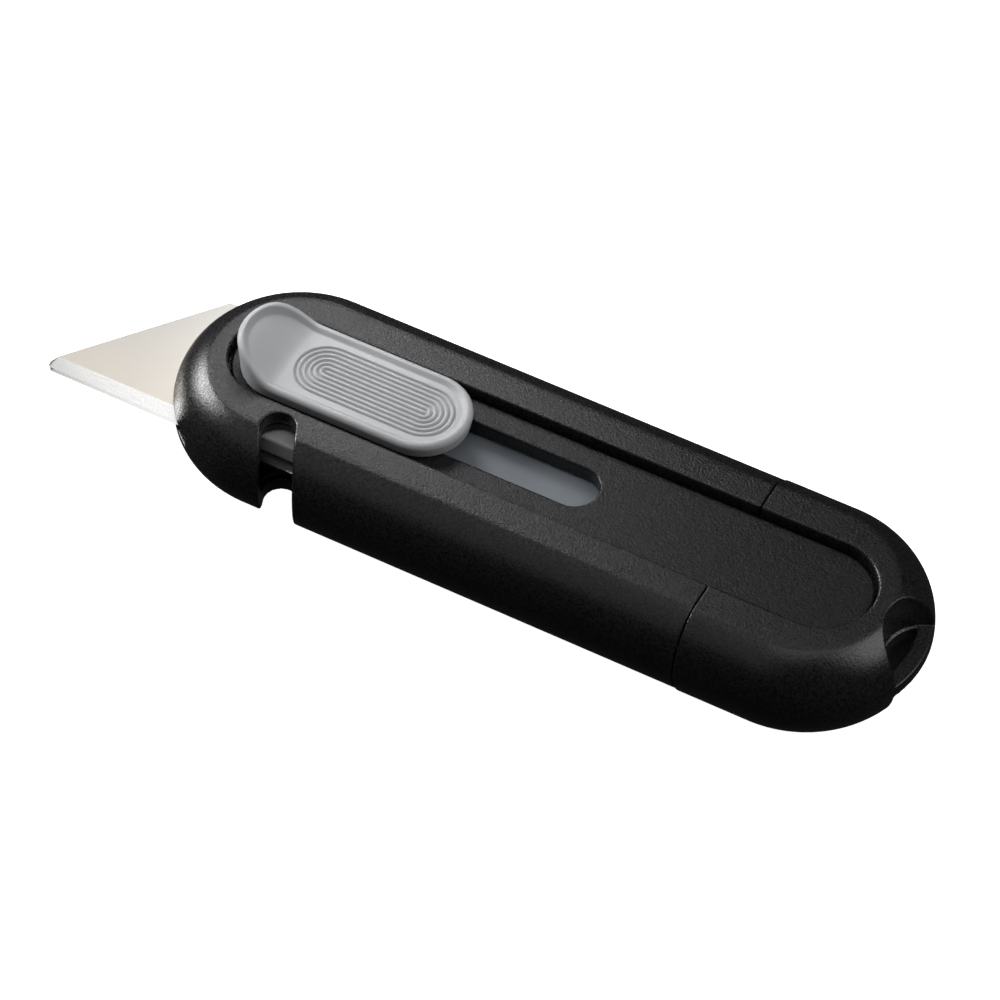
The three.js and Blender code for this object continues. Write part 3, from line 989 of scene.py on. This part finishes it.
# ---- the carriage --------------------------------------------------------------------------
@dataclass
class Blade:
    """Trapezoid blade: flat faces, a wide ground bevel, a fine honed edge and rounded points."""

    length: float = 61.0
    height: float = 19.0
    slant: float = 14.7
    bevel: float = 2.15
    hone: float = 0.45
    hone_half: float = 0.07
    point_radius: float = 1.1
    notch_half: float = 1.4
    notch_spacing: float = 5.5
    notch_depth: float = 3.5
    arc_steps: int = 10
    edge_steps: int = 40

    def corners(self, low: Array) -> tuple[float, float]:
        """Where the slanted ends would meet the edge if the points weren't rounded off."""
        lean = math.atan2(self.height, self.slant)
        corner = float(low[0]) - self.point_radius / math.tan(lean / 2) + self.point_radius
        return corner, corner + self.length

    def outline(self, low: Array) -> Array:
        """Outline, anticlockwise from the front point.

        Straight runs joined by an arc tangent to them at each point, with two U-shaped notches
        in the spine.

        Args:
            low: lowest corner of the CAD blade's box.

        Returns:
            Points in plan, one row each.
        """
        edge = low[1]
        lean = math.atan2(self.height, self.slant)
        back = self.point_radius / math.tan(lean / 2)
        corner, far = self.corners(low)
        turn = np.linspace(math.pi / 2 + lean, 1.5 * math.pi, self.arc_steps)
        round_off = self.point_radius * np.stack([np.cos(turn), np.sin(turn)], axis=1)
        front = np.array([corner + back, edge + self.point_radius]) + round_off
        rear = front[::-1] * [-1, 1] + [corner + far, 0]
        spread = np.linspace(0, 1, self.edge_steps)[1:-1, None]
        run = front[-1] * (1 - spread) + rear[0] * spread
        middle = corner + self.length / 2
        spine = edge + self.height
        notch = np.linspace(0, -math.pi, 12)
        bowl = np.stack([np.cos(notch), np.sin(notch)], axis=1) * self.notch_half
        floor = spine - self.notch_depth + self.notch_half
        rear_notch = bowl + [middle + self.notch_spacing, floor]
        front_notch = bowl + [middle - self.notch_spacing, floor]
        parts = [front, run, rear, [[far - self.slant, spine]]]
        for cut in (rear_notch, front_notch):
            parts.append([[cut[0, 0], spine]])
            parts.append(cut)
            parts.append([[cut[-1, 0], spine]])
        parts.append([[corner + self.slant, spine]])
        return np.concatenate([np.asarray(part, float) for part in parts])

    def build(self, paint: Paintbox) -> bpy.types.Object:
        """Makes the blade as rings that step up from the edge, with flat faces over them."""
        low, high = span("blade")
        half = (high[2] - low[2]) / 2
        mid = (high[2] + low[2]) / 2
        outline = self.outline(low)
        ends = self.corners(low)
        grade = self.slant / self.height
        layers = []
        for inset, rise in (
            (self.bevel, -half),
            (self.hone, -self.hone_half),
            (0.0, 0.0),
            (self.hone, self.hone_half),
            (self.bevel, half),
        ):
            ring = outline.copy()
            line = low[1] + inset
            below = ring[:, 1] < line
            reach = grade * inset
            ring[below, 0] = np.clip(ring[below, 0], ends[0] + reach, ends[1] - reach)
            ring[below, 1] = line
            layers.append(np.column_stack([ring, np.full(len(ring), mid + rise)]))
        rings = np.stack(layers)
        index, quads = ring_quads(*rings.shape[:2])
        faces = quads.tolist() + [index[0][::-1].tolist(), index[-1].tolist()]
        piece = mesh_object("blade_ground", rings.reshape(-1, 3), faces)
        weld(piece)
        piece.data.shade_flat()
        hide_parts("blade")
        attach(piece, "carriage")
        paint.dress(piece, Finish.BLADE)
        return piece


@dataclass
class Carrier:
    """The slate-grey blade holder and the jaw that clamps the blade to it from below."""

    sizes: ShellSizes
    edge: float = 0.45
    corner: float = 2.2
    relief_x0: float = -30.2
    relief_x1: float = 6.0
    relief_depth: float = 1.2
    pin_radius: float = 1.3
    pin_depth: float = 0.9
    jaw_pin_depth: float = 0.6
    hole_radius: float = 1.2
    bore_depth: float = 0.6
    seat_radius: float = 1.9
    seat_depth: float = 1.2
    magnet_seat: float = 2.8
    lattice: float = 0.3
    lattice_z: float = 0.2

    def holder(self, p: Array) -> Array:
        """Flat bar with rounded corners and edges, a pocket for the spring and its holes."""
        x, y, z = p[..., 0], p[..., 1], p[..., 2]
        low, high = span("blade_carrier")
        solid = soft_max(slab(p, low, high, self.corner), between(z, low[2], high[2]), self.edge)
        pocket_low, pocket_high = span("detent_spring")
        gap = self.sizes.gap
        pocket = np.maximum(
            between(x, pocket_low[0] - gap, pocket_high[0] + gap),
            between(y, pocket_low[1] - gap, pocket_high[1] + gap),
        )
        pocket = np.maximum(pocket, pocket_low[2] - gap - z)
        solid = soft_max(solid, -pocket, 0.15)
        for number in (1, 2):
            pin = centre_of(f"locating_pin_{number}")
            hole = upright(p, pin[0], pin[1], self.pin_radius)
            hole = np.maximum(hole, z - high[2] + self.pin_depth)
            screw = centre_of(f"carrier_screw_{number}")
            bore = upright(p, screw[0], screw[1], self.hole_radius)
            bore = np.maximum(bore, z - high[2] + self.bore_depth)
            slider = centre_of(f"slider_screw_{number}")
            through = upright(p, slider[0], slider[1], self.hole_radius)
            seat = upright(p, slider[0], slider[1], self.seat_radius)
            through = np.minimum(through, np.maximum(seat, z - low[2] - self.seat_depth))
            solid = np.maximum(solid, -np.minimum(np.minimum(hole, bore), through))
        return solid

    def jaw(self, p: Array) -> Array:
        """Shorter bar under the blade, relieved on the near side, with its seats and holes."""
        z = p[..., 2]
        low, high = span("carrier_jaw")
        solid = soft_max(slab(p, low, high, self.corner), between(z, low[2], high[2]), self.edge)
        relief = np.maximum(
            between(p[..., 0], self.relief_x0, self.relief_x1),
            p[..., 1] - low[1] - self.relief_depth,
        )
        solid = soft_max(solid, -relief, 0.2)
        magnet_low = span("blade_magnet")[0][2]
        magnet = centre_of("blade_magnet")
        seat = upright(p, magnet[0], magnet[1], self.magnet_seat)
        seat = np.maximum(seat, magnet_low - self.sizes.gap - z)
        solid = soft_max(solid, -seat, 0.15)
        for number in (1, 2):
            pin = centre_of(f"locating_pin_{number}")
            hole = upright(p, pin[0], pin[1], self.pin_radius)
            hole = np.maximum(hole, low[2] + self.jaw_pin_depth - z)
            screw = centre_of(f"carrier_screw_{number}")
            bore = upright(p, screw[0], screw[1], self.hole_radius)
            head = upright(p, screw[0], screw[1], self.seat_radius)
            bore = np.minimum(bore, np.maximum(head, z - low[2] - self.seat_depth))
            solid = np.maximum(solid, -np.minimum(hole, bore))
        return solid

    def build(self, paint: Paintbox) -> list[bpy.types.Object]:
        """Makes both and sets them on the carriage."""
        pieces = []
        for name, node, form, finish in (
            ("holder_skin", "blade_carrier", self.holder, Finish.CARRIER),
            ("jaw_skin", "carrier_jaw", self.jaw, Finish.JAW),
        ):
            low, high = span(node)
            xs = planes((low[0] - 0.5, high[0] + 0.5, self.lattice))
            ys = planes((low[1] - 0.5, high[1] + 0.5, self.lattice))
            zs = planes((low[2] - 0.4, high[2] + 0.4, self.lattice_z))
            piece = skin(name, form, xs, ys, zs)
            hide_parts(node)
            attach(piece, "carriage")
            paint.dress(piece, finish)
            pieces.append(piece)
        return pieces


@dataclass
class ThumbSlider:
    """The light grey slider: a shallow dish with a rounded rim, nested ripples and a front lip."""

    radius: float = 5.8
    rim_z: float = 14.4
    rim_round: float = 0.62
    rim_inner: float = 0.66
    rim_width: float = 1.35
    dish: float = 0.45
    lip_dish: float = 0.14
    ripple_radius: float = 3.9
    ripple_pitch: float = 0.65
    ripple_depth: float = 0.28
    ripple_x0: float = -28.5
    ripple_x1: float = -15.9
    lip_start: float = 1.0
    lip_length: float = 6.0
    bowl: float = 0.35
    draft: float = 0.25
    skirt_gap: float = 0.35
    stem_x0: float = -28.0
    stem_x1: float = -17.4
    stem_radius: float = 2.5
    arc_steps: int = 56
    side_steps: int = 60

    def ring(self, x0: float, x1: float, radius: float) -> Array:
        """Stadium round the line from x0 to x1: points in plan, anticlockwise from the rear."""
        right = np.linspace(-math.pi / 2, math.pi / 2, self.arc_steps)
        left = np.linspace(math.pi / 2, 1.5 * math.pi, self.arc_steps)
        side = np.linspace(0, 1, self.side_steps + 2)[1:-1]
        rear = np.stack([x1 + radius * np.cos(right), radius * np.sin(right)], axis=1)
        front = np.stack([x0 + radius * np.cos(left), radius * np.sin(left)], axis=1)
        far = np.stack([x1 + (x0 - x1) * side, np.full_like(side, radius)], axis=1)
        near = np.stack([x0 + (x1 - x0) * side, np.full_like(side, -radius)], axis=1)
        return np.concatenate([rear, far, front, near])

    def surface(self, plan: Array, x0: float, x1: float, lip_z: float) -> Array:
        """Height of the upper side.

        The rim runs level and climbs to the lip in a smooth S. Its outer edge is a quarter
        circle, and inside it the surface sinks to the pad in a second smooth step, deeper under
        the lip, where the floor also sags into a bowl. A squared cosine cuts the nested grooves.

        Args:
            plan: points in plan.
            x0: centre of the front end.
            x1: centre of the rear end.
            lip_z: height of the lip.

        Returns:
            The heights.
        """
        x, y = plan[:, 0], plan[:, 1]
        inset = self.radius - np.hypot(x - np.clip(x, x0, x1), y)
        climb = np.clip((x0 + self.lip_start - x) / self.lip_length, 0.0, 1.0)
        lift = (lip_z - self.rim_z) * climb * climb * (3 - 2 * climb)
        outer = np.clip(1 - inset / self.rim_round, 0.0, 1.0)
        fall = self.rim_round * (1 - np.sqrt(1 - outer ** 2))
        step = np.clip((inset - self.rim_inner) / (self.rim_width - self.rim_inner), 0.0, 1.0)
        sink = (self.dish + self.lip_dish * lift) * step * step * (3 - 2 * step)
        deep = np.clip((inset - self.rim_width + 0.4) / 2.0, 0.0, 1.0)
        sag = self.bowl * climb * (1 - climb) * deep * deep * (3 - 2 * deep)
        inner = np.hypot(x - np.clip(x, self.ripple_x0, self.ripple_x1), y)
        phase = 2 * math.pi * (self.ripple_radius - inner) / self.ripple_pitch
        inside = np.clip((self.ripple_radius - inner) / (0.3 * self.ripple_pitch), 0.0, 1.0)
        wave = self.ripple_depth * inside * (0.5 - 0.5 * np.cos(phase)) ** 2
        return self.rim_z + lift - fall - sink - sag - wave

    def top_rings(self, x0: float, x1: float) -> list[tuple[float, float, float]]:
        """End centres and radius of each ring over the rim, across the bowl and over the pad."""
        curve = self.rim_round * (1 - np.cos(np.linspace(0, math.pi / 2, 10)))[1:]
        inner = np.linspace(self.rim_round, self.rim_width, 14)[1:]
        rings = [(x0, x1, self.radius - inset) for inset in np.concatenate([curve, inner])]
        start = np.array(rings[-1])
        pad = np.array([self.ripple_x0, self.ripple_x1, self.ripple_radius])
        for share in np.linspace(0, 1, 30)[1:]:
            rings.append(tuple(start + (pad - start) * share))
        for radius in np.linspace(self.ripple_radius, 0.0, 97)[1:]:
            rings.append((self.ripple_x0, self.ripple_x1, radius))
        return rings

    def build(self, paint: Paintbox) -> bpy.types.Object:
        """Makes the slider as one run of rings, from under the stem, round and in to the pad."""
        low, high = span("thumb_slider")
        x0 = low[0] + self.radius
        x1 = high[0] - self.radius
        lip_z = high[2]
        skirt_z = span("upper_track")[1][2] + self.skirt_gap
        rings = []
        for share in (0.0, 0.5, 0.92, 1.0):
            rings.append((self.stem_x0, self.stem_x1, self.stem_radius * share, low[2]))
        rings.append((self.stem_x0, self.stem_x1, self.stem_radius, skirt_z))
        for share in (0.3, 0.7, 0.96, 1.0):
            width = self.stem_radius + (self.radius - self.draft - self.stem_radius) * share
            front = self.stem_x0 + (x0 - self.stem_x0) * share
            rear = self.stem_x1 + (x1 - self.stem_x1) * share
            rings.append((front, rear, width, skirt_z))
        count = 2 * (self.arc_steps + self.side_steps)
        bands = [np.column_stack([self.ring(*plan), np.full(count, z)]) for *plan, z in rings]
        outline = self.ring(x0, x1, self.radius)
        top = self.surface(outline, x0, x1, lip_z)
        for share in (0.06, 0.35, 0.7, 1.0):
            wall = self.ring(x0, x1, self.radius - self.draft * (1 - share))
            bands.append(np.column_stack([wall, skirt_z + (top - skirt_z) * share]))
        for front, rear, radius in self.top_rings(x0, x1):
            plan = self.ring(front, rear, radius)
            bands.append(np.column_stack([plan, self.surface(plan, x0, x1, lip_z)]))
        piece = ring_grid("slider_skin", np.stack(bands))
        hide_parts("thumb_slider")
        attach(piece, "carriage")
        paint.dress(piece, Finish.SLIDER)
        return piece


@dataclass
class Screw:
    """A turned screw with a chamfered head and a hexagon socket, standing on its head."""

    node: str
    body: str
    shank_radius: float = 0.9
    head_height: float = 0.8
    chamfer: float = 0.14
    socket: float = 0.72
    socket_depth: float = 0.5
    steps: int = 60

    def build(self, paint: Paintbox) -> bpy.types.Object:
        """Makes the screw as rings: a six-sided socket, the head and the plain shank."""
        low, high = span(self.node)
        head = (high[0] - low[0]) / 2
        centre = centre_of(self.node)
        turn = np.linspace(0, 2 * math.pi, self.steps, endpoint=False)
        facet = (turn + math.pi / 6) % (math.pi / 3) - math.pi / 6
        hexagon = self.socket * math.cos(math.pi / 6) / np.cos(facet)
        circle = np.ones(self.steps)
        rings = [
            (0 * circle, self.socket_depth),
            (hexagon * 0.96, self.socket_depth),
            (hexagon, self.socket_depth - 0.04),
            (hexagon, 0.06),
            (hexagon + 0.06, 0.0),
            ((head - self.chamfer) * circle, 0.0),
            (head * circle, self.chamfer),
            (head * circle, self.head_height - 0.05),
            ((head - 0.05) * circle, self.head_height),
            ((self.shank_radius + 0.05) * circle, self.head_height),
            (self.shank_radius * circle, self.head_height + 0.05),
            (self.shank_radius * circle, high[2] - low[2] - 0.2),
            ((self.shank_radius - 0.2) * circle, high[2] - low[2]),
            (0 * circle, high[2] - low[2]),
        ]
        bands = []
        for radius, z in rings:
            x = centre[0] + radius * np.cos(turn)
            y = centre[1] + radius * np.sin(turn)
            bands.append(np.column_stack([x, y, np.full(self.steps, low[2] + z)]))
        piece = ring_grid(f"{self.node}_turned", np.stack(bands))
        piece.data.shade_flat()
        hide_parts(self.node)
        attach(piece, self.body)
        paint.dress(piece, Finish.SCREW)
        return piece


@dataclass
class SmallParts:
    """Pieces whose CAD shape is right as it is and only need their finish."""

    finishes: dict[str, Finish] = field(
        default_factory=lambda: {
            "blade_magnet": Finish.MAGNET,
            "locating_pin_1": Finish.SPRING,
            "locating_pin_2": Finish.SPRING,
            "detent_spring": Finish.SPRING,
            "spring_rivet_1": Finish.SPRING,
            "spring_rivet_2": Finish.SPRING,
        }
    )

    def dress(self, paint: Paintbox) -> None:
        """Puts each piece's finish on its CAD node."""
        for node, finish in self.finishes.items():
            paint.dress(frame["nodes"][node], finish)


# ---- the studio ----------------------------------------------------------------------------
@dataclass
class Lamp:
    """A rectangular soft light aimed at a point, sizes in millimetres, power in watts."""

    name: str
    place: tuple[float, float, float]
    target: tuple[float, float, float]
    width: float
    depth: float
    power: float

    def build(self) -> bpy.types.Object:
        """Makes the light."""
        data = bpy.data.lights.new(self.name, "AREA")
        data.shape = "RECTANGLE"
        data.size = self.width * MM
        data.size_y = self.depth * MM
        data.energy = self.power
        lamp = bpy.data.objects.new(self.name, data)
        lamp.location = Vector(self.place) * MM
        aim = Vector(self.target) - Vector(self.place)
        lamp.rotation_euler = aim.to_track_quat("-Z", "Y").to_euler()
        bpy.context.scene.collection.objects.link(lamp)
        return lamp


@dataclass
class Studio:
    """Pale floor, soft lights and the camera."""

    camera_place: tuple[float, float, float] = (164.861, -319.485, 430.739)
    camera_right: tuple[float, float, float] = (0.877002, 0.480412, 0.008514)
    camera_up: tuple[float, float, float] = (-0.370986, 0.665770, 0.647394)
    lens: float = 177.73
    floor_half: float = 3000.0
    ambient: float = 0.022

    def build(self) -> None:
        """Makes the floor, the world, the lights and the camera."""
        self.floor()
        self.world()
        for lamp in (
            Lamp("nose", (-175, 4, 76), (-40, -6, 12), 60, 60, 0.19),
            Lamp("nose_near", (-159, -25, 96), (-48, -8, 11), 45, 45, 0.055),
            Lamp("key", (-52, 50, 70), (-38, 6, 14), 30, 30, 0.028),
            Lamp("blade", (-102, 52, 112), (-56, -6, 7), 40, 90, 0.033),
            Lamp("blade_root", (-70, 48, 66), (-46, 2, 13), 24, 24, 0.0022),
            Lamp("overhead", (60, -60, 450), (0, 0, 10), 300, 300, 0.28),
            Lamp("rear", (250, 60, 200), (40, 0, 10), 220, 220, 0.40),
            Lamp("fill", (-100, -240, 300), (0, 0, 10), 300, 300, 0.09),
        ):
            lamp.build()
        self.camera()

    def floor(self) -> None:
        """Makes the pale floor that the knife lies on."""
        half = self.floor_half
        corners = np.array([[-half, -half, 0], [half, -half, 0], [half, half, 0], [-half, half, 0]])
        floor = mesh_object("floor", corners, [[0, 1, 2, 3]])
        sheet = Sheet("pale_floor")
        cloud = sheet.noise(300.0)
        paint = sheet.shade(cloud, (0.86, 0.86, 0.86), (0.88, 0.88, 0.88))
        sheet.join(paint, sheet.shader.inputs["Base Color"])
        sheet.set(Roughness=0.9, Emission_Strength=1.0)
        sheet.shader.inputs["Emission Color"].default_value = (1.0, 1.0, 1.0, 1.0)
        floor.data.materials.append(sheet.material)
        floor.visible_glossy = False
        floor.visible_diffuse = False

    def world(self) -> None:
        """Fills the surroundings with even white light."""
        world = bpy.data.worlds.new("studio")
        world.use_nodes = True
        background = world.node_tree.nodes["Background"]
        background.inputs["Color"].default_value = (1.0, 1.0, 1.0, 1.0)
        background.inputs["Strength"].default_value = self.ambient
        bpy.context.scene.world = world

    def camera(self) -> None:
        """Sets the camera: a long lens, looking down on the knife from behind its near side."""
        data = bpy.data.cameras.new("camera")
        data.lens = self.lens
        data.sensor_width = 36.0
        data.clip_end = 20.0
        data.clip_start = 0.01
        right = Vector(self.camera_right).normalized()
        up = Vector(self.camera_up).normalized()
        back = right.cross(up)
        turn = Matrix((right, up, back)).transposed().to_4x4()
        camera = bpy.data.objects.new("camera", data)
        camera.matrix_world = Matrix.Translation(Vector(self.camera_place) * MM) @ turn
        bpy.context.scene.collection.objects.link(camera)
        bpy.context.scene.camera = camera
        bpy.context.scene.view_settings.view_transform = "Standard"


def main() -> None:
    """Builds the knife piece by piece, then the studio."""
    logging.basicConfig(level=logging.INFO, format="%(name)s: %(message)s")
    form = HandleForm()
    sizes = ShellSizes()
    paint = Paintbox()
    made = [FrontSleeve(form, sizes).build(paint), RearCap(form, sizes).build(paint)]
    made += Chassis(form, sizes).build(paint)
    made.append(Blade().build(paint))
    made += Carrier(sizes).build(paint)
    made.append(ThumbSlider().build(paint))
    for node in sorted(frame["nodes"]):
        if "_screw_" in node:
            on_handle = node in frame["record"]["behaviour"]["bodies"]["handle"]
            made.append(Screw(node, "handle" if on_handle else "carriage").build(paint))
    SmallParts().dress(paint)
    for piece in made:
        log.info("%s: %d faces", piece.name, len(piece.data.polygons))
    Studio().build()


if __name__ == "__main__":
    main()
